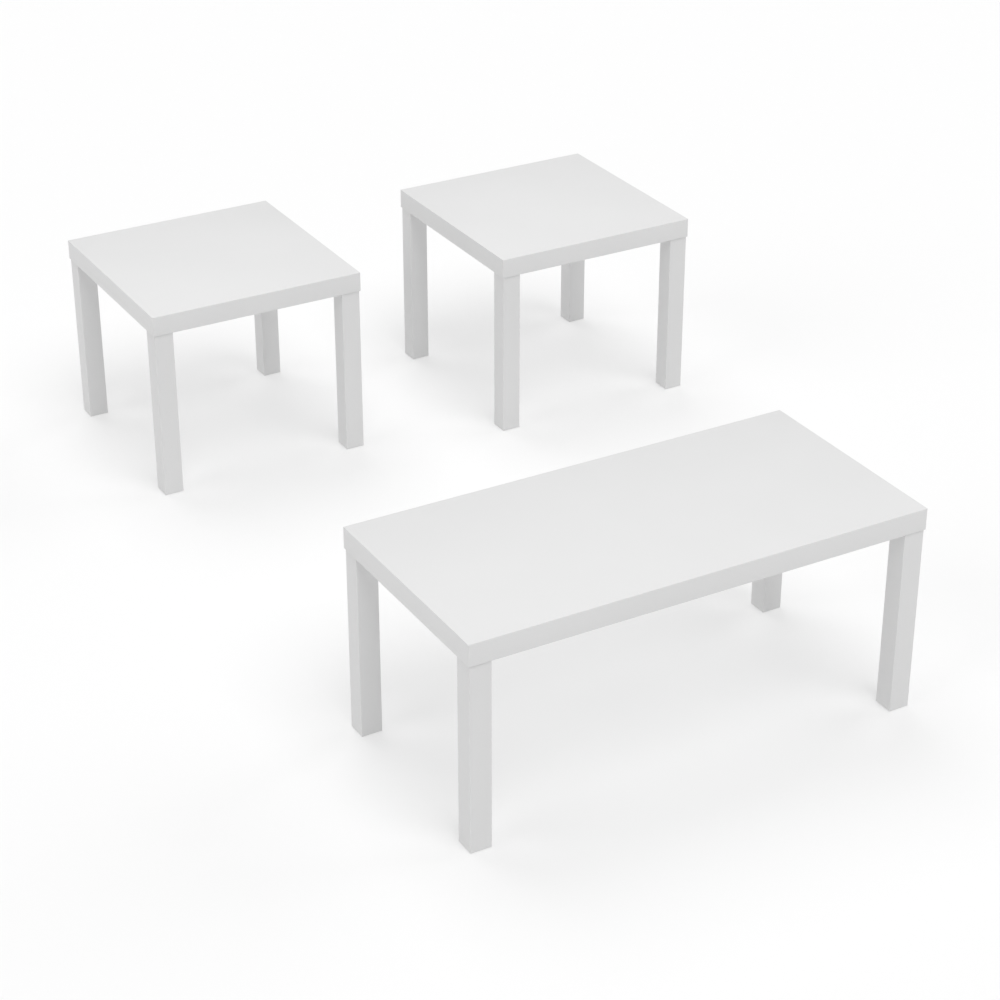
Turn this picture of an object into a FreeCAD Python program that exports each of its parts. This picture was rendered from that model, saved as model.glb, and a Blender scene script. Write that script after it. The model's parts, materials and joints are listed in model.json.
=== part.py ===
# A set of three free-standing tables of one height: an oblong coffee table and two square end tables.
# Each table has a hollow board-on-frame top (fibreboard skins on a chipboard frame with a paper
# honeycomb between them, and plastic edge bands), and four square tube legs that screw on by hand.
# Sizes are in millimetres. +X runs along the coffee table, +Y from it to the end tables, and +Z is up.
# The origin is on the floor, at the middle of the rectangle that the three tables stand in.
import FreeCAD, Part
import Sketcher
import math
import os
import re
from FreeCAD import Placement, Rotation, Vector

SIZES = [
    # name, millimetres, meaning
    ("table_height", 450.0, "floor to the top surface, the same for all three tables"),
    ("coffee_length", 1003.0, "coffee table top along X"),
    ("coffee_width", 488.0, "coffee table top along Y"),
    ("end_side", 517.0, "each side of the square end table tops"),
    ("slab_thickness", 46.0, "whole thickness of a table top"),
    ("left_end_gap", 1064.0, "coffee table's back edge to the left end table's front edge"),
    ("right_end_gap", 964.0, "coffee table's back edge to the right end table's front edge"),
    ("left_end_offset", 57.0, "left end table's left edge, inward of the coffee table's left edge"),
    ("ends_spacing", 323.0, "clear distance along X between the two end tables"),
    ("skin_thickness", 3.0, "fibreboard sheet on the top and on the underside"),
    ("band_thickness", 1.0, "plastic edge band"),
    ("band_edge_radius", 0.5, "rounding of the outer edges of the edge bands"),
    ("rail_width", 28.0, "frame rails inside the top"),
    ("block_overlap", 24.0, "how far a corner block reaches inward past the leg under it"),
    ("core_clearance", 0.5, "honeycomb to the frame around it"),
    ("cell_side", 20.0, "side of one honeycomb cell"),
    ("paper_thickness", 0.5, "honeycomb paper"),
    ("leg_side", 45.0, "outer side of a square leg"),
    ("leg_inset", 2.5, "edge of the top to the outer face of a leg"),
    ("leg_wall", 3.0, "fibreboard wall of a leg"),
    ("leg_edge_radius", 0.8, "rounding of a leg's upright edges"),
    ("top_block_height", 60.0, "wooden block glued in the top of a leg"),
    ("plug_height", 22.0, "plastic plug in the foot of a leg"),
    ("plug_wall", 2.5, "side walls of the foot plug"),
    ("plug_floor", 3.0, "floor of the foot plug"),
    ("boss_diameter", 12.0, "boss in the foot plug that takes the glide's stem"),
    ("glide_height", 2.0, "glide's disc, from the floor to the foot of the leg"),
    ("glide_diameter", 24.0, "glide's disc"),
    ("glide_chamfer", 0.6, "bevel round the glide's lower edge"),
    ("stem_diameter", 6.0, "glide's stem"),
    ("stem_length", 14.0, "glide's stem above its disc"),
    ("stem_clearance", 0.05, "glide's stem to the bore of the boss, on the radius"),
    ("bolt_diameter", 8.0, "crest of both threads of the hanger bolt"),
    ("bolt_root_diameter", 6.4, "root of both threads of the hanger bolt"),
    ("bolt_pitch", 1.25, "machine thread, the end in the table top"),
    ("bolt_length", 24.0, "machine thread, the end in the table top"),
    ("screw_pitch", 3.0, "wood thread, the end in the leg"),
    ("screw_length", 38.0, "wood thread, the end in the leg"),
    ("screw_point", 2.4, "bevel at the point of the wood thread"),
    ("thread_seat", 0.2, "depth of each thread ring inside its core"),
    ("insert_diameter", 12.0, "crest of the threaded insert's outer thread"),
    ("insert_root_diameter", 10.4, "root of the threaded insert's outer thread"),
    ("insert_pitch", 2.5, "threaded insert's outer thread"),
    ("insert_length", 20.0, "threaded insert, from the underside of the top"),
    ("hex_width", 8.6, "hexagonal drive socket in the insert's mouth, across flats"),
    ("hex_depth", 5.0, "hexagonal drive socket in the insert's mouth"),
    ("hole_clearance", 0.05, "cut holes to the cores of the screws in them, on the radius"),
    ("skin_hole_clearance", 0.25, "hole in the lower skin to the insert, on the radius"),
    ("hole_reach", 3.0, "blind holes, past the end of what is screwed into them"),
]
NAMES = {name for name, _, _ in SIZES}

# Heights and shares worked out from the sizes above, as formulas in their names.
SLAB_UNDERSIDE = "(table_height - slab_thickness)"
CORE_THICKNESS = "(slab_thickness - 2 * skin_thickness)"
CORE_UNDERSIDE = "(table_height - slab_thickness + skin_thickness)"
LEG_LENGTH = "(table_height - slab_thickness - glide_height)"
LEG_BORE = "(leg_side - 2 * leg_wall)"
LEG_CENTRE = "(leg_inset + leg_side / 2)"
BLOCK_SIDE = "(leg_inset + leg_side - band_thickness + block_overlap)"
SET_WIDTH = "max(coffee_length; left_end_offset + 2 * end_side + ends_spacing)"
SET_DEPTH = "(coffee_width + end_side + max(left_end_gap; right_end_gap))"

CORNERS = {
    # name, side of the table's middle along X and along Y, quarter turns of a piece that fits the corner
    "front_left": (-1, -1, 2),
    "front_right": (1, -1, 3),
    "back_left": (-1, 1, 1),
    "back_right": (1, 1, 0),
}


def make_sheet(doc):
    """The driving dimensions, one row each: meaning, number, and the number's name as its alias."""
    sheet = doc.addObject("Spreadsheet::Sheet", "Sizes")
    for row, (name, value, meaning) in enumerate(SIZES, start=1):
        sheet.set(f"A{row}", meaning)
        sheet.set(f"B{row}", str(value))
        sheet.setAlias(f"B{row}", name)
    doc.recompute()
    return sheet


def sized(formula):
    """The formula with every size's name pointed at its cell."""
    return re.sub(r"[a-z_]+", lambda word: "Sizes." + word[0] if word[0] in NAMES else word[0], formula)


def drive(obj, prop, formula):
    """Binds a property to a formula of sizes."""
    obj.setExpression(prop, sized(formula))


def place(obj, x, y, z):
    """Binds where a piece stands to formulas of sizes."""
    for axis, formula in zip("xyz", (x, y, z)):
        drive(obj, f"Placement.Base.{axis}", formula)


def new_body(doc, label):
    body = doc.addObject("PartDesign::Body", label)
    body.Label = label
    return body


def origin_feature(body, role):
    return next(feature for feature in body.Origin.OriginFeatures if feature.Role == role)


def sketch_on(body, role, name, height="0"):
    """An empty sketch on one of the body's own planes, raised along the plane's normal."""
    sketch = body.newObject("Sketcher::SketchObject", name)
    sketch.AttachmentSupport = [(origin_feature(body, role), "")]
    sketch.MapMode = "FlatFace"
    drive(sketch, "AttachmentOffset.Base.z", height)
    return sketch


def distance(sketch, kind, first, second, name, formula):
    """A named length between two points of a sketch, each (geometry, vertex), bound to a formula."""
    index = sketch.addConstraint(Sketcher.Constraint(kind, *first, *second, 1.0))
    sketch.renameConstraint(index, name)
    drive(sketch, f"Constraints.{name}", formula)


def add_outline(sketch, points):
    """A closed outline through the points, and the number of its first line."""
    first = sketch.GeometryCount
    corners = [Vector(x, y, 0) for x, y in points]
    for start, end in zip(corners, corners[1:] + corners[:1]):
        sketch.addGeometry(Part.LineSegment(start, end), False)
    for line in range(len(corners)):
        following = (line + 1) % len(corners)
        sketch.addConstraint(Sketcher.Constraint("Coincident", first + line, 2, first + following, 1))
    return first


def add_rectangle(sketch, name, across, deep):
    """A rectangle about the sketch's origin."""
    first = add_outline(sketch, [(-1, -1), (1, -1), (1, 1), (-1, 1)])
    for line in (0, 2):
        sketch.addConstraint(Sketcher.Constraint("Horizontal", first + line))
    for line in (1, 3):
        sketch.addConstraint(Sketcher.Constraint("Vertical", first + line))
    sketch.addConstraint(Sketcher.Constraint("Symmetric", first, 1, first + 1, 2, -1, 1))
    distance(sketch, "DistanceX", (first, 1), (first, 2), f"{name}_across", across)
    distance(sketch, "DistanceY", (first + 1, 1), (first + 1, 2), f"{name}_deep", deep)


def add_circle(sketch, name, radius, x="0", y="0"):
    circle = sketch.addGeometry(Part.Circle(Vector(1, 1, 0), Vector(0, 0, 1), 1), False)
    index = sketch.addConstraint(Sketcher.Constraint("Radius", circle, 1.0))
    sketch.renameConstraint(index, f"{name}_radius")
    drive(sketch, f"Constraints.{name}_radius", radius)
    distance(sketch, "DistanceX", (-1, 1), (circle, 3), f"{name}_x", x)
    distance(sketch, "DistanceY", (-1, 1), (circle, 3), f"{name}_y", y)


def pad(body, sketch, length, name="pad"):
    feature = body.newObject("PartDesign::Pad", name)
    feature.Profile = sketch
    drive(feature, "Length", length)
    body.Document.recompute()
    return feature


def pocket(body, sketch, length, name, upward=True):
    """Cuts the sketch's shape out of the body, and makes sure that something was cut."""
    before = body.Shape.Volume
    feature = body.newObject("PartDesign::Pocket", name)
    feature.Profile = sketch
    feature.Reversed = upward
    drive(feature, "Length", length)
    body.Document.recompute()
    if not body.Shape.Volume < before:
        raise RuntimeError(f"{body.Label}: {name} cut nothing")
    return feature


def edges_where(shape, chosen):
    """Names of the edges whose every point meets the test."""
    return [
        f"Edge{number}"
        for number, edge in enumerate(shape.Edges, start=1)
        if all(chosen(point) for point in edge.discretize(3))
    ]


def round_edges(body, feature, chosen, radius, kind="Fillet"):
    """Rounds or bevels the edges of the feature that meet the test."""
    edges = edges_where(feature.Shape, chosen)
    if not edges:
        raise RuntimeError(f"{body.Label}: no edges to round")
    dressing = body.newObject(f"PartDesign::{kind}", kind.lower())
    dressing.Base = (feature, edges)
    drive(dressing, "Radius" if kind == "Fillet" else "Size", radius)
    body.Document.recompute()
    return dressing


def plate(doc, label, across, deep, thick):
    """A rectangular board about its own origin, lying on its XY plane."""
    body = new_body(doc, label)
    sketch = sketch_on(body, "XY_Plane", "outline")
    add_rectangle(sketch, "board", across, deep)
    pad(body, sketch, thick)
    return body


def group(doc, label, piece, places):
    """Several copies of one piece as a single node. Each place is x, y, z and quarter turns about Z."""
    copies = []
    for x, y, z, turns in places:
        copy = doc.addObject("App::Link", f"{label}_copy")
        copy.LinkedObject = piece
        copy.Placement = Placement(Vector(), Rotation(Vector(0, 0, 1), 90 * turns))
        place(copy, x, y, z)
        copies.append(copy)
    node = doc.addObject("Part::Compound", label)
    node.Label = label
    node.Links = copies
    return node


def thread_rings(body, name, root, crest, pitch, start, length):
    """A thread drawn as a stack of sharp rings, from the start height upward over the length."""
    before = body.Shape.Volume
    sketch = sketch_on(body, "XZ_Plane", f"{name}_tooth")
    first = add_outline(sketch, [(1, 0), (2, 1), (1, 2)])
    distance(sketch, "DistanceX", (-1, 1), (first, 1), "base", f"{root} - thread_seat")
    distance(sketch, "DistanceX", (-1, 1), (first + 2, 1), "far_base", f"{root} - thread_seat")
    distance(sketch, "DistanceX", (-1, 1), (first + 1, 1), "crest", crest)
    distance(sketch, "DistanceY", (-1, 1), (first, 1), "start", start)
    distance(sketch, "DistanceY", (-1, 1), (first + 1, 1), "middle", f"{start} + {pitch} / 2")
    distance(sketch, "DistanceY", (-1, 1), (first + 2, 1), "finish", f"{start} + {pitch}")
    ring = body.newObject("PartDesign::Revolution", f"{name}_ring")
    ring.Profile = sketch
    ring.ReferenceAxis = (origin_feature(body, "Z_Axis"), [""])
    body.Document.recompute()
    rings = body.newObject("PartDesign::LinearPattern", f"{name}_rings")
    rings.Originals = [ring]
    rings.Direction = (origin_feature(body, "Z_Axis"), [""])
    drive(rings, "Occurrences", f"floor({length} / {pitch})")
    drive(rings, "Length", f"(floor({length} / {pitch}) - 1) * {pitch}")
    body.Tip = rings
    body.Document.recompute()
    if not body.Shape.Volume > before:
        raise RuntimeError(f"{body.Label}: {name} added nothing")


def round_core(body, radius, height, start="0"):
    """A round bar on the body's own Z axis."""
    core = body.newObject("PartDesign::AdditiveCylinder", "core")
    drive(core, "Radius", radius)
    drive(core, "Height", height)
    drive(core, "AttachmentOffset.Base.z", start)
    core.AttachmentSupport = [(origin_feature(body, "XY_Plane"), "")]
    core.MapMode = "FlatFace"
    body.Document.recompute()
    return core


# Pieces that all three tables share, each modelled once about its own origin.


def corner_block(doc):
    """Chipboard block in a corner of the top, drilled from below for the threaded insert."""
    body = plate(doc, "corner_block", BLOCK_SIDE, BLOCK_SIDE, CORE_THICKNESS)
    sketch = sketch_on(body, "XY_Plane", "insert_hole")
    centre = f"{BLOCK_SIDE} / 2 - ({LEG_CENTRE} - band_thickness)"
    add_circle(sketch, "hole", "insert_root_diameter / 2 + hole_clearance", centre, centre)
    pocket(body, sketch, "max(insert_length; bolt_length) - skin_thickness + hole_reach", "insert_hole_cut")
    return body


def threaded_insert(doc):
    """Steel insert with an outer wood thread. Its mouth, with the drive socket, is at its origin."""
    body = new_body(doc, "threaded_insert")
    round_core(body, "insert_root_diameter / 2", "insert_length")
    thread_rings(
        body, "outer", "insert_root_diameter / 2", "insert_diameter / 2", "insert_pitch", "0", "insert_length"
    )
    bore = sketch_on(body, "XY_Plane", "bore")
    add_circle(bore, "bore", "bolt_root_diameter / 2 + hole_clearance")
    pocket(body, bore, "insert_length", "bore_cut")
    socket = body.newObject("PartDesign::SubtractivePrism", "drive_socket")
    socket.Polygon = 6
    drive(socket, "Circumradius", f"hex_width / {math.sqrt(3)}")
    drive(socket, "Height", "hex_depth")
    body.Document.recompute()
    return body


def hanger_bolt(doc):
    """Double-ended bolt. The machine thread rises from its origin, and the wood thread goes down."""
    body = new_body(doc, "hanger_bolt")
    core = round_core(body, "bolt_root_diameter / 2", "bolt_length + screw_length", "-screw_length")
    lowest = core.Shape.BoundBox.ZMin
    round_edges(body, core, lambda point: abs(point.z - lowest) < 1e-6, "screw_point", "Chamfer")
    root = "bolt_root_diameter / 2"
    crest = "bolt_diameter / 2"
    thread_rings(body, "machine", root, crest, "bolt_pitch", "0", "bolt_length")
    thread_rings(
        body, "wood", root, crest, "screw_pitch", "screw_point - screw_length", "(screw_length - screw_point)"
    )
    return body


def leg_top_block(doc):
    """Wooden block that fills the top of a leg and takes the wood thread. Its top is at its origin."""
    body = new_body(doc, "leg_top_block")
    outline = sketch_on(body, "XY_Plane", "outline", "-top_block_height")
    add_rectangle(outline, "block", LEG_BORE, LEG_BORE)
    pad(body, outline, "top_block_height")
    pilot = sketch_on(body, "XY_Plane", "pilot_hole")
    add_circle(pilot, "pilot", "bolt_root_diameter / 2 + hole_clearance")
    pocket(body, pilot, "screw_length + hole_reach", "pilot_hole_cut", upward=False)
    return body


def foot_plug(doc):
    """Moulded plug, tight in the foot of a leg: an open tray with a boss for the glide's stem."""
    hollow = f"({LEG_BORE} - 2 * plug_wall)"
    body = plate(doc, "foot_plug", LEG_BORE, LEG_BORE, "plug_height")
    tray = sketch_on(body, "XY_Plane", "tray", "plug_floor")
    add_rectangle(tray, "tray", hollow, hollow)
    add_circle(tray, "boss", "boss_diameter / 2")
    pocket(body, tray, "plug_height - plug_floor", "tray_cut")
    bore = sketch_on(body, "XY_Plane", "stem_bore")
    add_circle(bore, "bore", "stem_diameter / 2 + stem_clearance")
    pocket(body, bore, "plug_height", "stem_bore_cut")
    return body


def glide(doc):
    """Round plastic glide under a leg, with the stem that holds it in the foot plug."""
    body = new_body(doc, "glide")
    disc = round_core(body, "glide_diameter / 2", "glide_height")
    round_edges(body, disc, lambda point: abs(point.z) < 1e-6, "glide_chamfer", "Chamfer")
    sketch = sketch_on(body, "XY_Plane", "stem", "glide_height")
    add_circle(sketch, "stem", "stem_diameter / 2")
    pad(body, sketch, "stem_length", "stem_pad")
    return body


# Pieces that belong to one table.


def leg(doc, label):
    """Square tube leg of folded fibreboard, standing on its own origin."""
    body = new_body(doc, label)
    sketch = sketch_on(body, "XY_Plane", "section")
    add_rectangle(sketch, "outside", "leg_side", "leg_side")
    add_rectangle(sketch, "inside", LEG_BORE, LEG_BORE)
    tube = pad(body, sketch, LEG_LENGTH)
    half = tube.Shape.BoundBox.XMax

    def upright(point):
        return abs(abs(point.x) - half) < 1e-6 and abs(abs(point.y) - half) < 1e-6

    round_edges(body, tube, upright, "min(leg_edge_radius; leg_wall / 2)")
    return body


def edge_band(doc, label, across, deep, outward):
    """Plastic strip on one edge of a top, with its outer edges rounded. Outward is its outer direction."""
    body = plate(doc, label, across, deep, "slab_thickness")
    strip = body.Tip
    box = strip.Shape.BoundBox
    reach = max(outward.dot(Vector(x, y, 0)) for x in (box.XMin, box.XMax) for y in (box.YMin, box.YMax))
    covers_corners = outward.x == 0

    def exposed(point):
        outer = abs(outward.dot(point) - reach) < 1e-6
        level = min(abs(point.z - box.ZMin), abs(point.z - box.ZMax)) < 1e-6
        return outer and (level or covers_corners)

    round_edges(body, strip, exposed, "min(band_edge_radius; band_thickness / 2)")
    return body


def lower_skin(doc, label, across, deep, middle_x, middle_y):
    """Fibreboard sheet on the underside, with a hole for each threaded insert."""
    body = plate(doc, label, across, deep, "skin_thickness")
    sketch = sketch_on(body, "XY_Plane", "insert_holes")
    for corner, (side_x, side_y, _) in CORNERS.items():
        radius = "insert_diameter / 2 + skin_hole_clearance"
        add_circle(sketch, corner, radius, f"{side_x} * {middle_x}", f"{side_y} * {middle_y}")
    pocket(body, sketch, "skin_thickness", "insert_holes_cut")
    return body


def honeycomb_strip(side, paper, first_cell, cells, height):
    """One strip of the honeycomb's paper: a wave of flats and slants, cells long, as an upright wall."""
    rise = side * math.sqrt(3) / 2 - paper
    lean = math.tan(math.radians(30)) * paper / 2
    upper = []
    lower = []
    for cell in range(first_cell, first_cell + cells):
        start = 3 * side * cell
        for x, y, slope in ((0, 0, 1), (side, 0, -1), (1.5 * side, rise, -1), (2.5 * side, rise, 1)):
            upper.append(Vector(start + x + slope * lean, y + paper, 0))
            lower.append(Vector(start + x - slope * lean, y, 0))
    outline = upper + lower[::-1] + upper[:1]
    return Part.Face(Part.makePolygon(outline)).extrude(Vector(0, 0, height))


def honeycomb_core(doc, label, sheet, across, deep):
    """Expanded paper honeycomb: waved strips side by side, cut to the space inside the frame."""
    block_side = sheet.leg_inset + sheet.leg_side - sheet.band_thickness + sheet.block_overlap
    height = sheet.slab_thickness - 2 * sheet.skin_thickness
    spaces = []
    for margin_x, margin_y in ((sheet.rail_width, block_side), (block_side, sheet.rail_width)):
        size_x = across - 2 * (sheet.band_thickness + margin_x + sheet.core_clearance)
        size_y = deep - 2 * (sheet.band_thickness + margin_y + sheet.core_clearance)
        spaces.append(Part.makeBox(size_x, size_y, height, Vector(-size_x / 2, -size_y / 2, 0)))
    space = spaces[0].fuse(spaces[1]).removeSplitter()
    row = sheet.cell_side * math.sqrt(3) / 2
    cells = math.ceil(across / (3 * sheet.cell_side)) + 2
    rows = math.ceil(deep / row)
    wave = honeycomb_strip(sheet.cell_side, sheet.paper_thickness, -(cells // 2) - 1, cells + 1, height)
    least = 2 * sheet.cell_side * sheet.paper_thickness * height
    strips = []
    for number in range(rows):
        shift = 1.5 * sheet.cell_side * (number % 2)
        strip = wave.translated(Vector(shift, (number - rows / 2) * row, 0)).common(space)
        strips += [solid for solid in strip.Solids if solid.Volume > least]
    node = doc.addObject("Part::Feature", label)
    node.Label = label
    node.Shape = Part.Compound(strips)
    return node


def make_table(doc, sheet, shared, name, across, deep, centre_x, centre_y):
    """All the pieces of one table. Across, deep and the two centres are formulas of sizes."""
    pieces = []

    def put(node, x="0", y="0", z="0"):
        place(node, f"{centre_x} + {x}", f"{centre_y} + {y}", z)
        pieces.append(node)

    def label(piece):
        return f"{name}_{piece}"

    panel_across = f"({across} - 2 * band_thickness)"
    panel_deep = f"({deep} - 2 * band_thickness)"

    top_skin = plate(doc, label("top_skin"), panel_across, panel_deep, "skin_thickness")
    put(top_skin, z="table_height - skin_thickness")
    leg_x = f"({across} / 2 - {LEG_CENTRE})"
    leg_y = f"({deep} / 2 - {LEG_CENTRE})"
    bottom_skin = lower_skin(doc, label("bottom_skin"), panel_across, panel_deep, leg_x, leg_y)
    put(bottom_skin, z=SLAB_UNDERSIDE)

    band_y = f"({deep} - band_thickness) / 2"
    for side, sign in (("front", -1), ("back", 1)):
        band = edge_band(doc, label(f"{side}_band"), across, "band_thickness", Vector(0, sign, 0))
        put(band, y=f"{sign} * {band_y}", z=SLAB_UNDERSIDE)
    band_x = f"({across} - band_thickness) / 2"
    for side, sign in (("left", -1), ("right", 1)):
        band = edge_band(doc, label(f"{side}_band"), "band_thickness", panel_deep, Vector(sign, 0, 0))
        put(band, x=f"{sign} * {band_x}", z=SLAB_UNDERSIDE)

    def at_corners(reach_x, reach_y, height, turned=False):
        return [
            (f"{centre_x} + {x} * {reach_x}", f"{centre_y} + {y} * {reach_y}", height, turns if turned else 0)
            for x, y, turns in CORNERS.values()
        ]

    rail_length = f"{panel_across} - 2 * {BLOCK_SIDE}"
    long_rail = plate(doc, label("long_rail"), rail_length, "rail_width", CORE_THICKNESS)
    rail_y = f"({panel_deep} - rail_width) / 2"
    rails = [(centre_x, f"{centre_y} + {sign} * {rail_y}", CORE_UNDERSIDE, 0) for sign in (-1, 1)]
    pieces.append(group(doc, label("long_rails"), long_rail, rails))
    rail_length = f"{panel_deep} - 2 * {BLOCK_SIDE}"
    short_rail = plate(doc, label("short_rail"), "rail_width", rail_length, CORE_THICKNESS)
    rail_x = f"({panel_across} - rail_width) / 2"
    rails = [(f"{centre_x} + {sign} * {rail_x}", centre_y, CORE_UNDERSIDE, 0) for sign in (-1, 1)]
    pieces.append(group(doc, label("short_rails"), short_rail, rails))

    block_x = f"({panel_across} - {BLOCK_SIDE}) / 2"
    block_y = f"({panel_deep} - {BLOCK_SIDE}) / 2"
    blocks = at_corners(block_x, block_y, CORE_UNDERSIDE, turned=True)
    pieces.append(group(doc, label("corner_blocks"), shared["corner_block"], blocks))

    size_x = sheet.getPropertyByName(across)
    size_y = sheet.getPropertyByName(deep)
    put(honeycomb_core(doc, label("honeycomb_core"), sheet, size_x, size_y), z=CORE_UNDERSIDE)

    for corner, (side_x, side_y, _) in CORNERS.items():
        put(leg(doc, label(f"leg_{corner}")), f"{side_x} * {leg_x}", f"{side_y} * {leg_y}", "glide_height")
    for piece, height in (
        ("threaded_insert", SLAB_UNDERSIDE),
        ("hanger_bolt", SLAB_UNDERSIDE),
        ("leg_top_block", SLAB_UNDERSIDE),
        ("foot_plug", "glide_height"),
        ("glide", "0"),
    ):
        pieces.append(group(doc, label(f"{piece}s"), shared[piece], at_corners(leg_x, leg_y, height)))
    return pieces


def check(doc, pieces):
    """Stops if any object failed or any piece has no sound solid."""
    doc.recompute()
    for obj in doc.Objects:
        if "Invalid" in obj.State or "Error" in obj.State:
            raise RuntimeError(f"{obj.Label} failed: {obj.State}")
    for piece in pieces:
        shape = piece.Shape
        if shape.isNull() or not shape.isValid() or not shape.Solids:
            raise RuntimeError(f"{piece.Label} has no valid solid")


def main():
    doc = FreeCAD.newDocument("TableSet")
    sheet = make_sheet(doc)
    makers = (corner_block, threaded_insert, hanger_bolt, leg_top_block, foot_plug, glide)
    shared = {maker.__name__: maker(doc) for maker in makers}
    left = f"(-{SET_WIDTH} / 2)"
    front = f"(-{SET_DEPTH} / 2)"
    tables = (
        ("coffee_table", "coffee_length", "coffee_width", "coffee_length / 2", "coffee_width / 2"),
        (
            "left_end_table",
            "end_side",
            "end_side",
            "left_end_offset + end_side / 2",
            "coffee_width + left_end_gap + end_side / 2",
        ),
        (
            "right_end_table",
            "end_side",
            "end_side",
            "left_end_offset + end_side * 3 / 2 + ends_spacing",
            "coffee_width + right_end_gap + end_side / 2",
        ),
    )
    pieces = []
    for name, across, deep, middle_x, middle_y in tables:
        centre = (f"({left} + {middle_x})", f"({front} + {middle_y})")
        pieces += make_table(doc, sheet, shared, name, across, deep, *centre)
    check(doc, pieces)
    os.makedirs("parts", exist_ok=True)
    for piece in pieces:
        piece.Shape.exportStep(f"parts/{piece.Label}.step")
    print(f"{len(pieces)} nodes, {sum(len(piece.Shape.Solids) for piece in pieces)} solids")


main()
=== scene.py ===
"""Finishes and studio for a set of three free-standing tables: a coffee table and two end tables.

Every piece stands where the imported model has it. Sizes are in metres unless a name says millimetres.
"""

import json
import math

import bmesh
import bpy
from bpy.props import FloatProperty, FloatVectorProperty, IntProperty, PointerProperty
from mathutils import Matrix, Vector

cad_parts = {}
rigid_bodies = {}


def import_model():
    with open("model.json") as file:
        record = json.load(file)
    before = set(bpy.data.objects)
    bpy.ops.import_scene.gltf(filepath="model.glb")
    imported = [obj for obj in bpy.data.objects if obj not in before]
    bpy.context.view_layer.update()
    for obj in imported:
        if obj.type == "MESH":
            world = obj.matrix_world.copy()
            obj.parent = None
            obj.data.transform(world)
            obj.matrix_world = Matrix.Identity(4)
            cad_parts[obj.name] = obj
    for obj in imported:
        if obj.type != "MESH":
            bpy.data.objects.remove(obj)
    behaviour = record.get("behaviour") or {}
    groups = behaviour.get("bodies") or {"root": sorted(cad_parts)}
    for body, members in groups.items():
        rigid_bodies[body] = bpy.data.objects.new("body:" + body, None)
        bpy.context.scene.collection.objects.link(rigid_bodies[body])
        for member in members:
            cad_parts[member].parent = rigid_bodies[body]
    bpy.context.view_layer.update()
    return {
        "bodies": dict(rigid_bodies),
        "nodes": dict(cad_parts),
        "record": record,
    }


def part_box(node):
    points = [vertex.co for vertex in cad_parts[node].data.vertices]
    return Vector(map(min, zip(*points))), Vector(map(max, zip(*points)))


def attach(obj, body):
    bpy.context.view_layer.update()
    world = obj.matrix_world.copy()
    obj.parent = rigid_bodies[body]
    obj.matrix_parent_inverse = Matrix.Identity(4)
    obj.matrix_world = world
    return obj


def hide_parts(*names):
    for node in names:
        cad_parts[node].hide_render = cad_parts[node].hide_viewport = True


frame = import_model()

bl_info = {
    "name": "Coffee and End Table Set",
    "version": (1, 0, 0),
    "blender": (4, 5, 0),
    "location": "View3D > Sidebar > Tables",
    "description": "Tops, edge bands, legs, fittings, finishes and a studio for a set of three tables",
    "category": "Add Mesh",
}

TABLES = tuple(frame["bodies"])
CORNERS = {"front_left": (-1, -1), "front_right": (1, -1), "back_left": (-1, 1), "back_right": (1, 1)}
SIDES = {"front": (0, -1), "back": (0, 1), "left": (-1, 0), "right": (1, 0)}
SLOT_OF = {part["node"]: part["material_slot"] for part in frame["record"]["subparts"]}
MM = 0.001
# Points this near to each other count as the same
TOLERANCE = 1e-6
# Edges sharper than this still look sharp on smooth pieces
CREASE = math.radians(35)
# How far a thread's foot is sunk into its core
THREAD_FOOT = 0.2 * MM
# Width of a thread at its foot, as a share of its pitch: fine machine threads and coarse wood threads
FINE_THREAD = 0.92
COARSE_THREAD = 0.6
# A pitch under this is a fine one
FINE_PITCH = 2 * MM
# Bevel round the upper end of a hanger bolt
BOLT_BEVEL = 0.5 * MM
# Bevels of a glide's disc and stem
GLIDE_BEVEL = 0.3 * MM
# Point of a glide's dish between its middle and its rim, as shares of its radius and its depth
DISH_POINT = (0.6, 0.7)
# Degrees round a glide's lower rim
RIM_TURNS = (0, 22.5, 45, 67.5, 90)
# Bevel profile of a flat chamfer, for the seam of a leg
FLAT_PROFILE = 0.25
# Middle range of a texture's values, for a Map Range node
MIDDLE = {"From Min": 0.3, "From Max": 0.7}
# Scale at which the wave texture's rings are one unit apart
RING_SCALE = math.tau / 20
# Faces round the studio's wall, and up its curve
COVE_FACETS = 96
COVE_STEPS = 12
# Metres, past the far side of the studio's wall
CAMERA_REACH = 300
# Degrees round from the front and up from the floor, and strength in W/m2
LIGHTS = {
    "front_light": (0, 60, 1.61),
    "right_light": (90, 30, 0.69),
    "back_light": (180, 60, 1.04),
    "left_light": (270, 30, 0.64),
}


def linear(hex_colour):
    """Linear RGBA of an sRGB hex colour such as #E8E8E8."""
    channels = [int(hex_colour[start : start + 2], 16) / 255 for start in (1, 3, 5)]
    curve = [c / 12.92 if c <= 0.04045 else ((c + 0.055) / 1.055) ** 2.4 for c in channels]
    return (*curve, 1.0)


def colour(name, description, hex_colour):
    return FloatVectorProperty(
        name=name, description=description, subtype="COLOR", size=4, min=0, max=1, default=linear(hex_colour)
    )


def length(name, description, default):
    return FloatProperty(
        name=name, description=description, unit="LENGTH", min=0, precision=5, default=default
    )


class TableBoardSettings(bpy.types.PropertyGroup):
    """Shapes of the painted boards and bands"""

    joint_bevel: length("Joint bevel", "Bevel of a top sheet's rim, a hairline beside the band", 0.15 * MM)
    band_rounding: length("Band rounding", "Rounding of the outer edges of the edge bands", 0.5 * MM)
    leg_wall: length("Leg wall", "Thickness of a leg's folded fibreboard", 3 * MM)
    leg_rounding: length("Leg rounding", "Rounding of a leg's upright edges", 0.8 * MM)
    seam_chamfer: length("Seam chamfer", "Chamfer along the corner where a leg's fold closes", 0.5 * MM)
    segments: IntProperty(name="Segments", description="Faces across each rounding", min=2, max=8, default=4)


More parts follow.
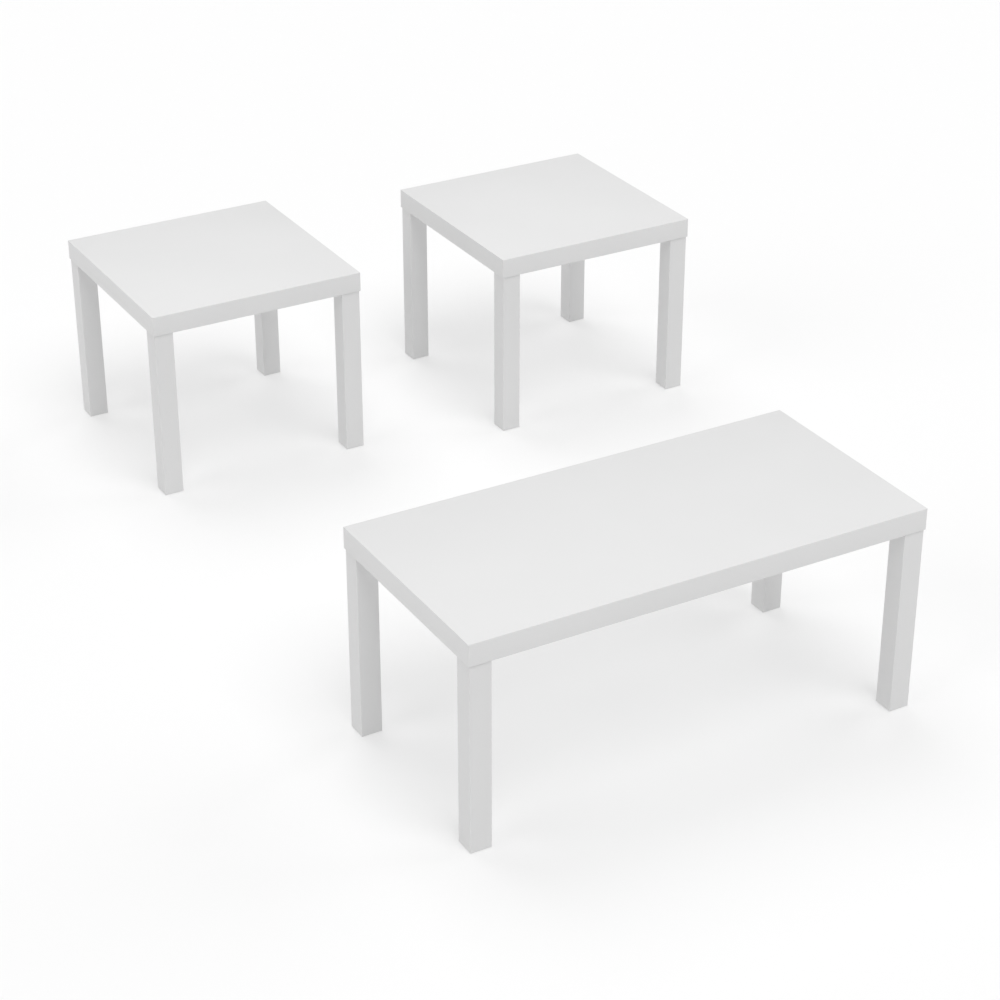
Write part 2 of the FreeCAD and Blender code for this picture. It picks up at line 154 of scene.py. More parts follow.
class TableFittingSettings(bpy.types.PropertyGroup):
    """Shapes of the bolts, inserts and glides"""

    bolt_crest: length("Bolt crest", "Outer radius of the hanger bolt's threads", 4 * MM)
    bolt_root: length("Bolt root", "Core radius of the hanger bolt", 3.2 * MM)
    machine_pitch: length("Machine pitch", "Rise of the machine thread in one turn", 1.25 * MM)
    wood_pitch: length("Wood pitch", "Rise of the wood thread in one turn", 3 * MM)
    bolt_point: length("Bolt point", "Height of the taper at the wood thread's tip", 2.4 * MM)
    insert_crest: length("Insert crest", "Outer radius of the insert's thread", 6 * MM)
    insert_root: length("Insert root", "Radius of the insert's barrel", 5.2 * MM)
    insert_pitch: length("Insert pitch", "Rise of the insert's thread in one turn", 2.5 * MM)
    insert_bore: length("Insert bore", "Radius of the hole through the insert", 3.25 * MM)
    socket_width: length("Socket width", "Hexagonal socket in the insert's mouth, across flats", 8.6 * MM)
    socket_depth: length("Socket depth", "Depth of that socket", 5 * MM)
    rim_rounding: length("Rim rounding", "Rounding of a glide's lower rim", 0.7 * MM)
    dish_depth: length("Dish depth", "Hollow in the middle of a glide's underside", 0.4 * MM)
    dish_radius: length("Dish radius", "Radius of that hollow", 7 * MM)
    stem_radius: length("Stem radius", "Radius of a glide's stem", 3 * MM)
    disc_height: length("Disc height", "Height of a glide's disc", 2 * MM)
    facets: IntProperty(name="Facets", description="Faces round a turned piece", min=16, max=128, default=48)


class TableFinishSettings(bpy.types.PropertyGroup):
    """Colours of the finishes"""

    paint: colour("Paint", "White acrylic paint on the boards", "#D8D8D8")
    band: colour("Edge band", "White ABS edge band", "#D8D8D8")
    fibre: colour("Fibreboard", "Raw cut edge of the fibreboard", "#9C7B52")
    chip_light: colour("Light chips", "Pale chips in the chipboard", "#D9BE93")
    chip_dark: colour("Dark chips", "Dark chips in the chipboard", "#8A6A43")
    kraft: colour("Kraft paper", "Honeycomb paper", "#B08D62")
    pine_light: colour("Early wood", "Pale rings in the softwood", "#E2C391")
    pine_dark: colour("Late wood", "Dark rings in the softwood", "#B98850")
    zinc: colour("Zinc", "Bright zinc plating on the bolts", "#C9CCD1")
    yellow_zinc: colour("Yellow zinc", "Yellow-passivated zinc plating on the inserts", "#D2C49A")
    plug: colour("Foot plug", "Moulded plug in a leg's foot", "#D0D0CF")
    glide: colour("Glide", "Moulded glide under a leg", "#C9C9C8")


class TableStudioSettings(bpy.types.PropertyGroup):
    """Floor, lights and camera"""

    floor: colour("Floor", "White studio floor", "#B5B5B5")
    glow: FloatProperty(name="Glow", description="Light that the floor gives from below", min=0, default=0.43)
    floor_radius: length("Floor radius", "Radius of the round floor", 80)
    wall_height: length("Wall height", "Height of the wall round the floor", 14)
    cove_radius: length("Cove radius", "Radius of the curve between floor and wall", 10)
    sky: FloatProperty(name="Sky", description="Strength of the even white surroundings", min=0, default=0.25)
    lights: FloatProperty(name="Lights", description="Share of the lights' full strength", min=0, default=1.0)
    softness: FloatProperty(
        name="Softness", description="How wide each light looks", subtype="ANGLE", default=math.radians(40)
    )
    lens: FloatProperty(name="Lens", description="Focal length on a 36 mm sensor", unit="CAMERA", default=90)
    yaw: FloatProperty(
        name="Yaw", description="Turn from +Y towards +X", subtype="ANGLE", default=math.radians(29.63)
    )
    pitch: FloatProperty(name="Pitch", description="Tilt down", subtype="ANGLE", default=math.radians(28.45))
    place: FloatVectorProperty(
        name="Camera",
        description="Camera's place",
        subtype="XYZ_LENGTH",
        size=3,
        default=(-2.487, -4.2745, 2.74),
    )


# Mesh helpers


def new_piece(name, shape, materials, body, node, smooth=False):
    """A finished piece on its body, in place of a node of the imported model.

    Shape builds it in an empty bmesh. Where it is smooth, by choice or by its roundings, edges sharper
    than CREASE still look sharp.
    """
    bm = bmesh.new()
    shape(bm)
    bmesh.ops.recalc_face_normals(bm, faces=bm.faces)
    mesh = bpy.data.meshes.new(name)
    bm.to_mesh(mesh)
    bm.free()
    if smooth:
        mesh.shade_smooth()
    mesh.set_sharp_from_angle(angle=CREASE)
    for material in materials:
        mesh.materials.append(material)
    piece = bpy.data.objects.new(name, mesh)
    bpy.context.collection.objects.link(piece)
    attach(piece, body)
    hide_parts(node)


def add_box(bm, low, high):
    """A box between two corners."""
    low, high = Vector(low), Vector(high)
    place = Matrix.Translation((low + high) / 2) @ Matrix.Diagonal((*(high - low), 1))
    bmesh.ops.create_cube(bm, size=1, matrix=place)


def round_edges(bm, edges, radius, segments, profile=0.5):
    """Rounds the edges, and shades only the rounding smooth."""
    made = bmesh.ops.bevel(
        bm,
        geom=edges,
        offset=radius,
        offset_type="OFFSET",
        segments=segments,
        profile=profile,
        affect="EDGES",
        material=-1,
        clamp_overlap=False,
    )
    for face in made["faces"]:
        face.smooth = True


def lies_on(edge, axis, value):
    return all(abs(vert.co[axis] - value) < TOLERANCE for vert in edge.verts)


def leg_centres(table):
    """The upright axis of each leg of a table."""
    boxes = [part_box(f"{table}_leg_{corner}") for corner in CORNERS]
    return [(low + high) / 2 for low, high in boxes]


def add_turned(bm, centre, outline, facets):
    """A solid turned about an upright axis from an outline of (distance from the axis, height)."""
    points = [bm.verts.new((centre.x + across, centre.y, height)) for across, height in outline]
    edges = [bm.edges.new(pair) for pair in zip(points, points[1:])]
    bmesh.ops.spin(
        bm, geom=points + edges, cent=centre, axis=(0, 0, 1), angle=math.tau, steps=facets, use_merge=True
    )
    bmesh.ops.remove_doubles(bm, verts=bm.verts, dist=TOLERANCE)


def repeat_at(bm, centres):
    """Copies the whole bmesh, which stands at the first centre, to the others."""
    first = [*bm.verts, *bm.edges, *bm.faces]
    for centre in centres[1:]:
        copy = bmesh.ops.duplicate(bm, geom=first)["geom"]
        verts = [part for part in copy if isinstance(part, bmesh.types.BMVert)]
        bmesh.ops.translate(bm, verts=verts, vec=centre - centres[0])


def add_thread(bm, centre, root, crest, pitch, low, high, facets):
    """A sharp helical ridge about an upright axis, closed at both ends, with its foot inside the core."""
    foot = root - THREAD_FOOT
    width = (FINE_THREAD if pitch < FINE_PITCH else COARSE_THREAD) * pitch
    section = [(foot, 0), (crest, width / 2), (foot, width)]
    points = [bm.verts.new((centre.x + across, centre.y, low + rise)) for across, rise in section]
    edges = [bm.edges.new(pair) for pair in zip(points, points[1:] + points[:1])]
    steps = int((high - low - width) / pitch * facets)
    swept = bmesh.ops.spin(
        bm,
        geom=points + edges,
        cent=centre,
        axis=(0, 0, 1),
        dvec=(0, 0, pitch / facets),
        angle=math.tau * steps / facets,
        steps=steps,
        use_merge=False,
    )
    bm.faces.new(points)
    bm.faces.new([vert for vert in swept["geom_last"] if isinstance(vert, bmesh.types.BMVert)])


def add_ring(bm, centre, height, radius, count):
    """The edges of a flat ring about an upright axis."""
    place = Matrix.Translation((centre.x, centre.y, height))
    made = bmesh.ops.create_circle(bm, cap_ends=False, segments=count, radius=radius, matrix=place)
    return list({edge for vert in made["verts"] for edge in vert.link_edges})


def raise_ring(bm, ring, rise):
    """A wall up from a ring. The edges of the ring at its top."""
    made = bmesh.ops.extrude_edge_only(bm, edges=ring)["geom"]
    verts = {part for part in made if isinstance(part, bmesh.types.BMVert)}
    bmesh.ops.translate(bm, verts=list(verts), vec=(0, 0, rise))
    return [part for part in made if isinstance(part, bmesh.types.BMEdge) and verts.issuperset(part.verts)]


def fill_between(bm, outer, inner):
    """A flat face with a hole, from its outer and inner rings."""
    bmesh.ops.triangle_fill(bm, edges=outer + inner, use_beauty=True)


# Material helpers


def new_material(name):
    """A node material with only a Principled shader and its output."""
    material = bpy.data.materials.new(name)
    material.use_nodes = True
    tree = material.node_tree
    tree.nodes.clear()
    shader = tree.nodes.new("ShaderNodeBsdfPrincipled")
    output = tree.nodes.new("ShaderNodeOutputMaterial")
    tree.links.new(shader.outputs["BSDF"], output.inputs["Surface"])
    return material, tree, shader


def add_node(tree, kind, inputs=None, **settings):
    """A node with its settings. Each input is a number, a colour, or the socket that feeds it."""
    node = tree.nodes.new(kind)
    for name, value in settings.items():
        setattr(node, name, value)
    for name, value in (inputs or {}).items():
        if isinstance(value, bpy.types.NodeSocket):
            tree.links.new(value, node.inputs[name])
        else:
            node.inputs[name].default_value = value
    return node


def per_metre(millimetres):
    """A texture's scale for a pattern that repeats over this many millimetres."""
    return 1000 / millimetres


def pattern_scale(across, upward):
    """A Mapping scale for a pattern of one size along X and Y and another along Z, in millimetres."""
    return (per_metre(across), per_metre(across), per_metre(upward))


def shaded(colour_value, share):
    """The colour made darker, to this share of its light."""
    return (*(share * channel for channel in colour_value[:3]), 1.0)


def finish(tree, shader, tint, gloss, relief, **sockets):
    """Feeds a shader its colour, roughness and relief.

    Tint is a factor and the two colours that it blends, gloss is a texture and the roughnesses that its
    middle range is spread over, and relief is a height and its depth in metres.
    """
    factor, first, second = tint
    colours = {"Factor": factor, "A": tuple(first), "B": tuple(second)}
    blend = add_node(tree, "ShaderNodeMix", colours, data_type="RGBA")
    texture, low, high = gloss
    rough = add_node(tree, "ShaderNodeMapRange", {"Value": texture, **MIDDLE, "To Min": low, "To Max": high})
    height, depth = relief
    bump = add_node(tree, "ShaderNodeBump", {"Height": height, "Distance": depth})
    tree.links.new(blend.outputs["Result"], shader.inputs["Base Color"])
    tree.links.new(rough.outputs["Result"], shader.inputs["Roughness"])
    tree.links.new(bump.outputs["Normal"], shader.inputs["Normal"])
    for name, value in sockets.items():
        shader.inputs[name.replace("_", " ")].default_value = value


# Materials


def painted_board(colours):
    """Acrylic paint rolled on fibreboard, which looks low in gloss, even in colour and all but flat.

    The roller's peel is finer than a millimetre; it is drawn at 5 mm, so that it shows as a soft unevenness.
    """
    material, tree, shader = new_material("rolled acrylic paint on fibreboard")
    place = add_node(tree, "ShaderNodeTexCoord").outputs["Object"]
    cloud = add_node(tree, "ShaderNodeTexNoise", {"Vector": place, "Scale": per_metre(240), "Detail": 2})
    hands = add_node(tree, "ShaderNodeTexNoise", {"Vector": place, "Scale": per_metre(70), "Detail": 3})
    peel = add_node(tree, "ShaderNodeTexNoise", {"Vector": place, "Scale": per_metre(5), "Detail": 2})
    share = add_node(tree, "ShaderNodeMapRange", {"Value": cloud.outputs["Fac"], **MIDDLE})
    tint = (share.outputs["Result"], shaded(colours.paint, 0.985), colours.paint)
    gloss = (hands.outputs["Fac"], 0.54, 0.62)
    finish(tree, shader, tint, gloss, (peel.outputs["Fac"], 0.004 * MM), IOR=1.49)
    return material


def edge_band(colours):
    """Extruded ABS band, which looks a little smoother than the paint, with faint lines along it.

    The extruder's lines are finer than a millimetre; they are drawn 3 mm apart.
    """
    material, tree, shader = new_material("extruded ABS edge band")
    place = add_node(tree, "ShaderNodeTexCoord").outputs["Object"]
    along = add_node(tree, "ShaderNodeMapping", {"Vector": place, "Scale": pattern_scale(400, 3)})
    cloud = add_node(tree, "ShaderNodeTexNoise", {"Vector": place, "Scale": per_metre(180), "Detail": 2})
    lines = add_node(tree, "ShaderNodeTexNoise", {"Vector": along.outputs["Vector"], "Scale": 1, "Detail": 2})
    share = add_node(tree, "ShaderNodeMapRange", {"Value": cloud.outputs["Fac"], **MIDDLE})
    tint = (share.outputs["Result"], shaded(colours.band, 0.985), colours.band)
    gloss = (lines.outputs["Fac"], 0.46, 0.54)
    finish(tree, shader, tint, gloss, (lines.outputs["Fac"], 0.003 * MM), IOR=1.52)
    return material


def raw_fibreboard(colours):
    """Sawn fibreboard, which looks matte, brown and felty, with a fine fleck of fibres."""
    material, tree, shader = new_material("sawn fibreboard")
    place = add_node(tree, "ShaderNodeTexCoord").outputs["Object"]
    fibres = add_node(tree, "ShaderNodeTexNoise", {"Vector": place, "Scale": per_metre(0.8), "Detail": 6})
    share = add_node(tree, "ShaderNodeMapRange", {"Value": fibres.outputs["Fac"], **MIDDLE})
    fleck = share.outputs["Result"]
    tint = (fleck, shaded(colours.fibre, 0.6), colours.fibre)
    finish(tree, shader, tint, (fleck, 0.8, 0.95), (fleck, 0.06 * MM))
    return material


def chipboard(colours):
    """Pressed chips, which look like flat flakes of mixed browns, 6 mm across and 1.5 mm thick."""
    material, tree, shader = new_material("pressed chipboard")
    place = add_node(tree, "ShaderNodeTexCoord").outputs["Object"]
    mapping = add_node(tree, "ShaderNodeMapping", {"Vector": place, "Scale": pattern_scale(6, 1.5)})
    flat = mapping.outputs["Vector"]
    chips = add_node(tree, "ShaderNodeTexVoronoi", {"Vector": flat, "Scale": 1, "Randomness": 1})
    shade = add_node(tree, "ShaderNodeSeparateColor", {"Color": chips.outputs["Color"]})
    grain = add_node(tree, "ShaderNodeTexNoise", {"Vector": flat, "Scale": 4, "Detail": 4})
    both = {0: shade.outputs["Red"], 1: grain.outputs["Fac"]}
    mixed = add_node(tree, "ShaderNodeMath", both, operation="MULTIPLY")
    browns = {"Value": mixed.outputs["Value"], **MIDDLE, "To Min": 1, "To Max": 0.1}
    share = add_node(tree, "ShaderNodeMapRange", browns)
    between = {"Value": chips.outputs["Distance"], **MIDDLE, "To Min": 1, "To Max": 0}
    gaps = add_node(tree, "ShaderNodeMapRange", between)
    tint = (share.outputs["Result"], colours.chip_dark, colours.chip_light)
    finish(tree, shader, tint, (grain.outputs["Fac"], 0.75, 0.9), (gaps.outputs["Result"], 0.15 * MM))
    return material


def kraft_paper(colours):
    """Unbleached honeycomb paper, which looks matte and tan, with long fibres running up it."""
    material, tree, shader = new_material("unbleached kraft paper")
    place = add_node(tree, "ShaderNodeTexCoord").outputs["Object"]
    upward = add_node(tree, "ShaderNodeMapping", {"Vector": place, "Scale": pattern_scale(1.2, 5)})
    along = upward.outputs["Vector"]
    fibres = add_node(tree, "ShaderNodeTexNoise", {"Vector": along, "Scale": 1, "Detail": 5})
    share = add_node(tree, "ShaderNodeMapRange", {"Value": fibres.outputs["Fac"], **MIDDLE})
    fleck = share.outputs["Result"]
    tint = (fleck, shaded(colours.kraft, 0.7), colours.kraft)
    finish(tree, shader, tint, (fleck, 0.82, 0.92), (fleck, 0.03 * MM))
    return material


def softwood(colours):
    """Sawn spruce, which looks pale, with darker rings 3 mm apart running up the leg."""
    material, tree, shader = new_material("sawn spruce")
    place = add_node(tree, "ShaderNodeTexCoord").outputs["Object"]
    wide = add_node(tree, "ShaderNodeMapping", {"Vector": place, "Scale": pattern_scale(3, 40)})
    fine = add_node(tree, "ShaderNodeMapping", {"Vector": place, "Scale": pattern_scale(0.5, 12)})
    rings = add_node(
        tree,
        "ShaderNodeTexWave",
        {"Vector": wide.outputs["Vector"], "Scale": RING_SCALE, "Distortion": 3, "Detail": 2},
        wave_type="RINGS",
        rings_direction="Z",
        wave_profile="SAW",
    )
    fibres = add_node(tree, "ShaderNodeTexNoise", {"Vector": fine.outputs["Vector"], "Scale": 1, "Detail": 3})
    tint = (rings.outputs["Fac"], colours.pine_light, colours.pine_dark)
    finish(tree, shader, tint, (fibres.outputs["Fac"], 0.6, 0.75), (fibres.outputs["Fac"], 0.05 * MM))
    return material


def zinc_plate(name, zinc):
    """Zinc-plated steel, which looks bright and slightly uneven, with the plating's soft frosting.

    The frosting is finer than a tenth of a millimetre; it is drawn at 1.5 mm.
    """
    material, tree, shader = new_material(name)
    place = add_node(tree, "ShaderNodeTexCoord").outputs["Object"]
    frost = add_node(tree, "ShaderNodeTexNoise", {"Vector": place, "Scale": per_metre(1.5), "Detail": 4})
    bath = add_node(tree, "ShaderNodeTexNoise", {"Vector": place, "Scale": per_metre(12), "Detail": 2})
    share = add_node(tree, "ShaderNodeMapRange", {"Value": bath.outputs["Fac"], **MIDDLE})
    tint = (share.outputs["Result"], shaded(zinc, 0.85), zinc)
    gloss = (frost.outputs["Fac"], 0.24, 0.4)
    finish(tree, shader, tint, gloss, (frost.outputs["Fac"], 0.01 * MM), Metallic=1.0)
    return material


def moulded_plastic(name, plastic, gloss_low, gloss_high):
    """Injection-moulded polyolefin, which looks waxy and even, with the mould's fine spark texture.

    The spark texture is finer than a tenth of a millimetre; it is drawn at 0.6 mm.
    """
    material, tree, shader = new_material(name)
    place = add_node(tree, "ShaderNodeTexCoord").outputs["Object"]
    flow = add_node(tree, "ShaderNodeTexNoise", {"Vector": place, "Scale": per_metre(15), "Detail": 2})
    spark = add_node(tree, "ShaderNodeTexNoise", {"Vector": place, "Scale": per_metre(0.6), "Detail": 2})
    share = add_node(tree, "ShaderNodeMapRange", {"Value": flow.outputs["Fac"], **MIDDLE})
    tint = (share.outputs["Result"], shaded(plastic, 0.96), plastic)
    gloss = (spark.outputs["Fac"], gloss_low, gloss_high)
    finish(tree, shader, tint, gloss, (spark.outputs["Fac"], 0.01 * MM), IOR=1.5)
    return material


def make_materials(colours):
    """Every finish, by the material slot that it belongs to."""
    return {
        "foil_board": painted_board(colours),
        "edge_band": edge_band(colours),
        "chipboard": chipboard(colours),
        "honeycomb_paper": kraft_paper(colours),
        "insert_steel": zinc_plate("yellow-passivated zinc plate", colours.yellow_zinc),
        "bolt_steel": zinc_plate("bright zinc plate", colours.zinc),
        "leg_block_wood": softwood(colours),
        "plug_plastic": moulded_plastic("moulded polypropylene", colours.plug, 0.42, 0.52),
        "glide_plastic": moulded_plastic("moulded polyethylene", colours.glide, 0.34, 0.44),
        "cut_fibreboard": raw_fibreboard(colours),
    }


MATERIALS = {}


class TABLES_OT_finishes(bpy.types.Operator):
    """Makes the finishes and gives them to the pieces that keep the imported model's shape"""

    bl_idname = "tables.finishes"
    bl_label = "Finishes"

    def execute(self, context):
        MATERIALS.update(make_materials(context.scene.table_finishes))
        for name, node in frame["nodes"].items():
            for slot in node.material_slots:
                slot.material = MATERIALS[SLOT_OF[name]]
        return {"FINISHED"}


class TABLES_OT_tops(bpy.types.Operator):
    """Makes the painted top sheets, whose rims leave a hairline beside the edge bands"""

    bl_idname = "tables.tops"
    bl_label = "Top sheets"

    def execute(self, context):
        boards = context.scene.table_boards
        for table in TABLES:
            node = f"{table}_top_skin"
            low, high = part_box(node)

            def sheet(bm):
                add_box(bm, low, high)
                rim = [edge for edge in bm.edges if lies_on(edge, 2, high.z)]
                round_edges(bm, rim, boards.joint_bevel, 2)

            new_piece(f"{table}_painted_top", sheet, [MATERIALS["foil_board"]], table, node)
        return {"FINISHED"}


class TABLES_OT_bands(bpy.types.Operator):
    """Makes the edge bands, with their outer edges rounded"""

    bl_idname = "tables.bands"
    bl_label = "Edge bands"

    def execute(self, context):
        boards = context.scene.table_boards
        for table in TABLES:
            for side, (out_x, out_y) in SIDES.items():
                node = f"{table}_{side}_band"
                low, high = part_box(node)
                axis = 0 if out_x else 1
                outer = high[axis] if out_x + out_y > 0 else low[axis]
                covers_corners = axis == 1

                def band(bm):
                    add_box(bm, low, high)
                    edges = [edge for edge in bm.edges if lies_on(edge, axis, outer)]
                    if not covers_corners:
                        edges = [edge for edge in edges if any(lies_on(edge, 2, z) for z in (low.z, high.z))]
                    round_edges(bm, edges, boards.band_rounding, boards.segments)

                new_piece(f"{table}_{side}_edge_band", band, [MATERIALS["edge_band"]], table, node)
        return {"FINISHED"}


class TABLES_OT_legs(bpy.types.Operator):
    """Makes the folded square legs: painted outside and below, raw inside, with a chamfer at the seam"""

    bl_idname = "tables.legs"
    bl_label = "Legs"

    def execute(self, context):
        boards = context.scene.table_boards
        for table in TABLES:
            for corner, (side_x, side_y) in CORNERS.items():
                node = f"{table}_leg_{corner}"
                low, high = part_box(node)
                seam_x = low.x if side_x > 0 else high.x
                seam_y = low.y if side_y > 0 else high.y

                def at_seam(edge):
                    return lies_on(edge, 0, seam_x) and lies_on(edge, 1, seam_y)

                def tube(bm):
                    add_box(bm, low, high)
                    ends = [face for face in bm.faces if abs(face.normal.z) > 0.5]
                    rings = bmesh.ops.inset_individual(
                        bm, faces=ends, thickness=boards.leg_wall, use_even_offset=True
                    )
                    for face in rings["faces"]:
                        face.material_index = 1 if face.normal.z > 0.5 else 0
                    mouths = list({edge for face in ends for edge in face.edges})
                    bmesh.ops.delete(bm, geom=ends, context="FACES_ONLY")
                    for face in bmesh.ops.bridge_loops(bm, edges=mouths)["faces"]:
                        face.material_index = 1
                    upright = [
                        edge
                        for edge in bm.edges
                        if any(lies_on(edge, 0, x) for x in (low.x, high.x))
                        and any(lies_on(edge, 1, y) for y in (low.y, high.y))
                    ]
                    folds = [edge for edge in upright if not at_seam(edge)]
                    round_edges(bm, folds, boards.leg_rounding, boards.segments)
                    seam = [edge for edge in bm.edges if at_seam(edge)]
                    round_edges(bm, seam, boards.seam_chamfer, 2, profile=FLAT_PROFILE)

                skins = [MATERIALS["foil_board"], MATERIALS["cut_fibreboard"]]
                new_piece(f"{table}_{corner}_leg", tube, skins, table, node)
        return {"FINISHED"}


class TABLES_OT_inserts(bpy.types.Operator):
    """Makes the threaded inserts: barrels with a hexagonal socket, a bore and an outer thread"""

    bl_idname = "tables.inserts"
    bl_label = "Threaded inserts"

    def execute(self, context):
        fittings = context.scene.table_fittings
        for table in TABLES:
            node = f"{table}_threaded_inserts"
            low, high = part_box(node)
            centres = leg_centres(table)

            def inserts(bm):
                add_insert(bm, fittings, centres[0], low.z, high.z)
                repeat_at(bm, centres)

            skins = [MATERIALS["insert_steel"]]
            new_piece(f"{table}_screw_in_inserts", inserts, skins, table, node, smooth=True)
        return {"FINISHED"}


def add_insert(bm, fittings, centre, low, high):
    """One threaded insert, with its mouth and socket at its lower end."""
    facets, root = fittings.facets, fittings.insert_root
    barrel = add_ring(bm, centre, low, root, facets)
    socket = add_ring(bm, centre, low, fittings.socket_width / math.sqrt(3), 6)
    fill_between(bm, barrel, socket)
    socket_end = raise_ring(bm, socket, fittings.socket_depth)
    bore = add_ring(bm, centre, low + fittings.socket_depth, fittings.insert_bore, facets)
    fill_between(bm, socket_end, bore)
    bore_end = raise_ring(bm, bore, high - low - fittings.socket_depth)
    fill_between(bm, raise_ring(bm, barrel, high - low), bore_end)
    crest, pitch = fittings.insert_crest, fittings.insert_pitch
    add_thread(bm, centre, root, crest, pitch, low, high, facets // 2)


class TABLES_OT_bolts(bpy.types.Operator):
    """Makes the hanger bolts, with a machine thread in the top and a wood thread in the leg"""

    bl_idname = "tables.bolts"
    bl_label = "Hanger bolts"

    def execute(self, context):
        fittings = context.scene.table_fittings
        for table in TABLES:
            node = f"{table}_hanger_bolts"
            low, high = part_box(node)
            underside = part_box(f"{table}_bottom_skin")[0].z
            centres = leg_centres(table)

            def bolts(bm):
                add_bolt(bm, fittings, centres[0], low.z, underside, high.z)
                repeat_at(bm, centres)

            skins = [MATERIALS["bolt_steel"]]
            new_piece(f"{table}_double_ended_bolts", bolts, skins, table, node, smooth=True)
        return {"FINISHED"}


def add_bolt(bm, fittings, centre, low, middle, high):
    """One hanger bolt: wood thread from low to middle, machine thread from middle to high."""
    root, crest, point = fittings.bolt_root, fittings.bolt_crest, fittings.bolt_point
    shoulder = high - BOLT_BEVEL
    outline = [
        (0, low),
        (root - point, low),
        (root, low + point),
        (root, shoulder),
        (root - BOLT_BEVEL, high),
        (0, high),
    ]
    add_turned(bm, centre, outline, fittings.facets)
    facets = fittings.facets // 2
    add_thread(bm, centre, root, crest, fittings.wood_pitch, low + point, middle, facets)
    add_thread(bm, centre, root, crest, fittings.machine_pitch, middle, shoulder, facets)


class TABLES_OT_glides(bpy.types.Operator):
    """Makes the glides: moulded discs with a dished underside and a stem"""

    bl_idname = "tables.glides"
    bl_label = "Glides"

    def execute(self, context):
        fittings = context.scene.table_fittings
        for table in TABLES:
            node = f"{table}_glides"
            low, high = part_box(node)
            centres = leg_centres(table)
            radius = min(centre.x for centre in centres) - low.x
            outline = glide_outline(fittings, radius, low.z, high.z)

            def glides(bm):
                add_turned(bm, centres[0], outline, fittings.facets)
                repeat_at(bm, centres)

            skins = [MATERIALS["glide_plastic"]]
            new_piece(f"{table}_moulded_glides", glides, skins, table, node, smooth=True)
        return {"FINISHED"}


def glide_outline(fittings, radius, low, high):
    """Half a glide's section, as (distance from its axis, height), from its dish up to its stem's end."""
    rim = fittings.rim_rounding
    turns = [math.radians(angle) for angle in RIM_TURNS]
    lower_rim = [(radius - rim + rim * math.sin(turn), low + rim - rim * math.cos(turn)) for turn in turns]
    top = low + fittings.disc_height
    along, down = DISH_POINT
    return [
        (0, low + fittings.dish_depth),
        (along * fittings.dish_radius, low + down * fittings.dish_depth),
        (fittings.dish_radius, low),
        *lower_rim,
        (radius, top - GLIDE_BEVEL),
        (radius - GLIDE_BEVEL, top),
        (fittings.stem_radius, top),
        (fittings.stem_radius, high - GLIDE_BEVEL),
        (fittings.stem_radius - GLIDE_BEVEL, high),
        (0, high),
    ]


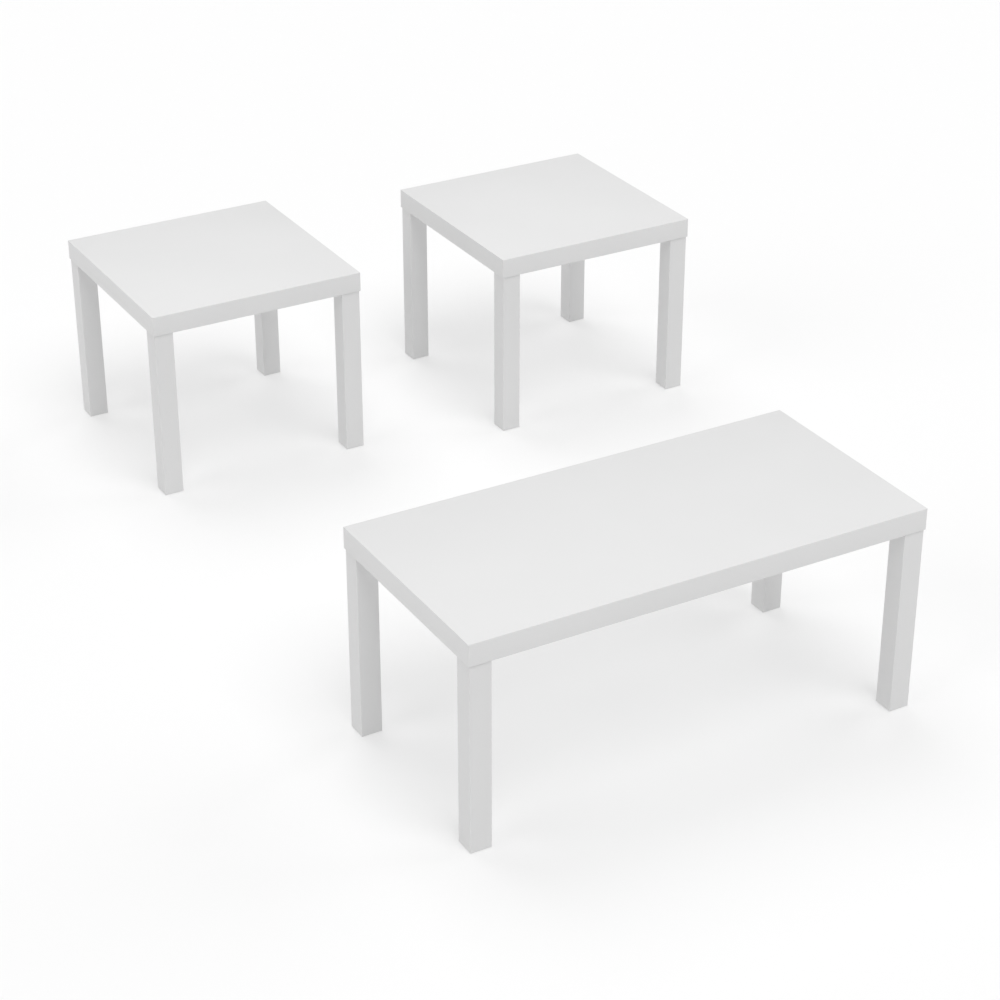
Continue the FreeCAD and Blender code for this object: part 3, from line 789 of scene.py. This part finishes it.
class TABLES_OT_studio(bpy.types.Operator):
    """Makes the white floor, the soft lights and the camera"""

    bl_idname = "tables.studio"
    bl_label = "Studio"

    def execute(self, context):
        studio = context.scene.table_studio
        bm = bmesh.new()
        bmesh.ops.create_circle(bm, cap_ends=True, segments=COVE_FACETS, radius=studio.floor_radius)
        rim = bm.edges[:]
        raise_ring(bm, rim, studio.wall_height)
        round_edges(bm, rim, studio.cove_radius, COVE_STEPS)
        mesh = bpy.data.meshes.new("studio_cove")
        bm.to_mesh(mesh)
        bm.free()
        floor = bpy.data.objects.new("studio_cove", mesh)
        # Matte and white, with a glow from below that keeps the shadows on it pale
        material, _, shader = new_material("white acrylic floor lit from below")
        shader.inputs["Base Color"].default_value = studio.floor
        shader.inputs["Emission Color"].default_value = (1, 1, 1, 1)
        shader.inputs["Emission Strength"].default_value = studio.glow
        shader.inputs["Roughness"].default_value = 0.9
        shader.inputs["Specular IOR Level"].default_value = 0.1
        mesh.materials.append(material)
        context.collection.objects.link(floor)

        world = bpy.data.worlds.new("white surroundings")
        world.use_nodes = True
        background = world.node_tree.nodes["Background"]
        background.inputs["Color"].default_value = (1, 1, 1, 1)
        background.inputs["Strength"].default_value = studio.sky
        context.scene.world = world
        context.scene.view_settings.view_transform = "Standard"

        for name, (azimuth, height, strength) in LIGHTS.items():
            light = bpy.data.lights.new(name, "SUN")
            light.energy = studio.lights * strength
            light.angle = studio.softness
            lamp = bpy.data.objects.new(name, light)
            lamp.rotation_euler = (math.radians(90 - height), 0, math.radians(azimuth))
            context.collection.objects.link(lamp)

        camera = bpy.data.cameras.new("studio_camera")
        camera.lens = studio.lens
        camera.clip_end = CAMERA_REACH
        stand = bpy.data.objects.new("studio_camera", camera)
        stand.location = studio.place
        ahead = Vector(
            (
                math.sin(studio.yaw) * math.cos(studio.pitch),
                math.cos(studio.yaw) * math.cos(studio.pitch),
                -math.sin(studio.pitch),
            )
        )
        stand.rotation_euler = ahead.to_track_quat("-Z", "Y").to_euler()
        context.collection.objects.link(stand)
        context.scene.camera = stand
        return {"FINISHED"}


class TABLES_PT_panel(bpy.types.Panel):
    """Buttons for every group of pieces, in the order that they are made"""

    bl_idname = "TABLES_PT_panel"
    bl_label = "Table Set"
    bl_space_type = "VIEW_3D"
    bl_region_type = "UI"
    bl_category = "Tables"

    def draw(self, context):
        for operator in OPERATORS:
            self.layout.operator(operator.bl_idname)
        for group, kind in SETTINGS.items():
            box = self.layout.box()
            for name in kind.__annotations__:
                box.prop(getattr(context.scene, group), name)


SETTINGS = {
    "table_boards": TableBoardSettings,
    "table_fittings": TableFittingSettings,
    "table_finishes": TableFinishSettings,
    "table_studio": TableStudioSettings,
}
OPERATORS = (
    TABLES_OT_finishes,
    TABLES_OT_tops,
    TABLES_OT_bands,
    TABLES_OT_legs,
    TABLES_OT_inserts,
    TABLES_OT_bolts,
    TABLES_OT_glides,
    TABLES_OT_studio,
)
CLASSES = (*SETTINGS.values(), *OPERATORS, TABLES_PT_panel)


def register():
    for each in CLASSES:
        bpy.utils.register_class(each)
    for name, kind in SETTINGS.items():
        setattr(bpy.types.Scene, name, PointerProperty(type=kind))


def unregister():
    for name in SETTINGS:
        delattr(bpy.types.Scene, name)
    for each in reversed(CLASSES):
        bpy.utils.unregister_class(each)


def main():
    register()
    bpy.ops.tables.finishes()
    bpy.ops.tables.tops()
    bpy.ops.tables.bands()
    bpy.ops.tables.legs()
    bpy.ops.tables.inserts()
    bpy.ops.tables.bolts()
    bpy.ops.tables.glides()
    bpy.ops.tables.studio()


if __name__ == "__main__":
    main()
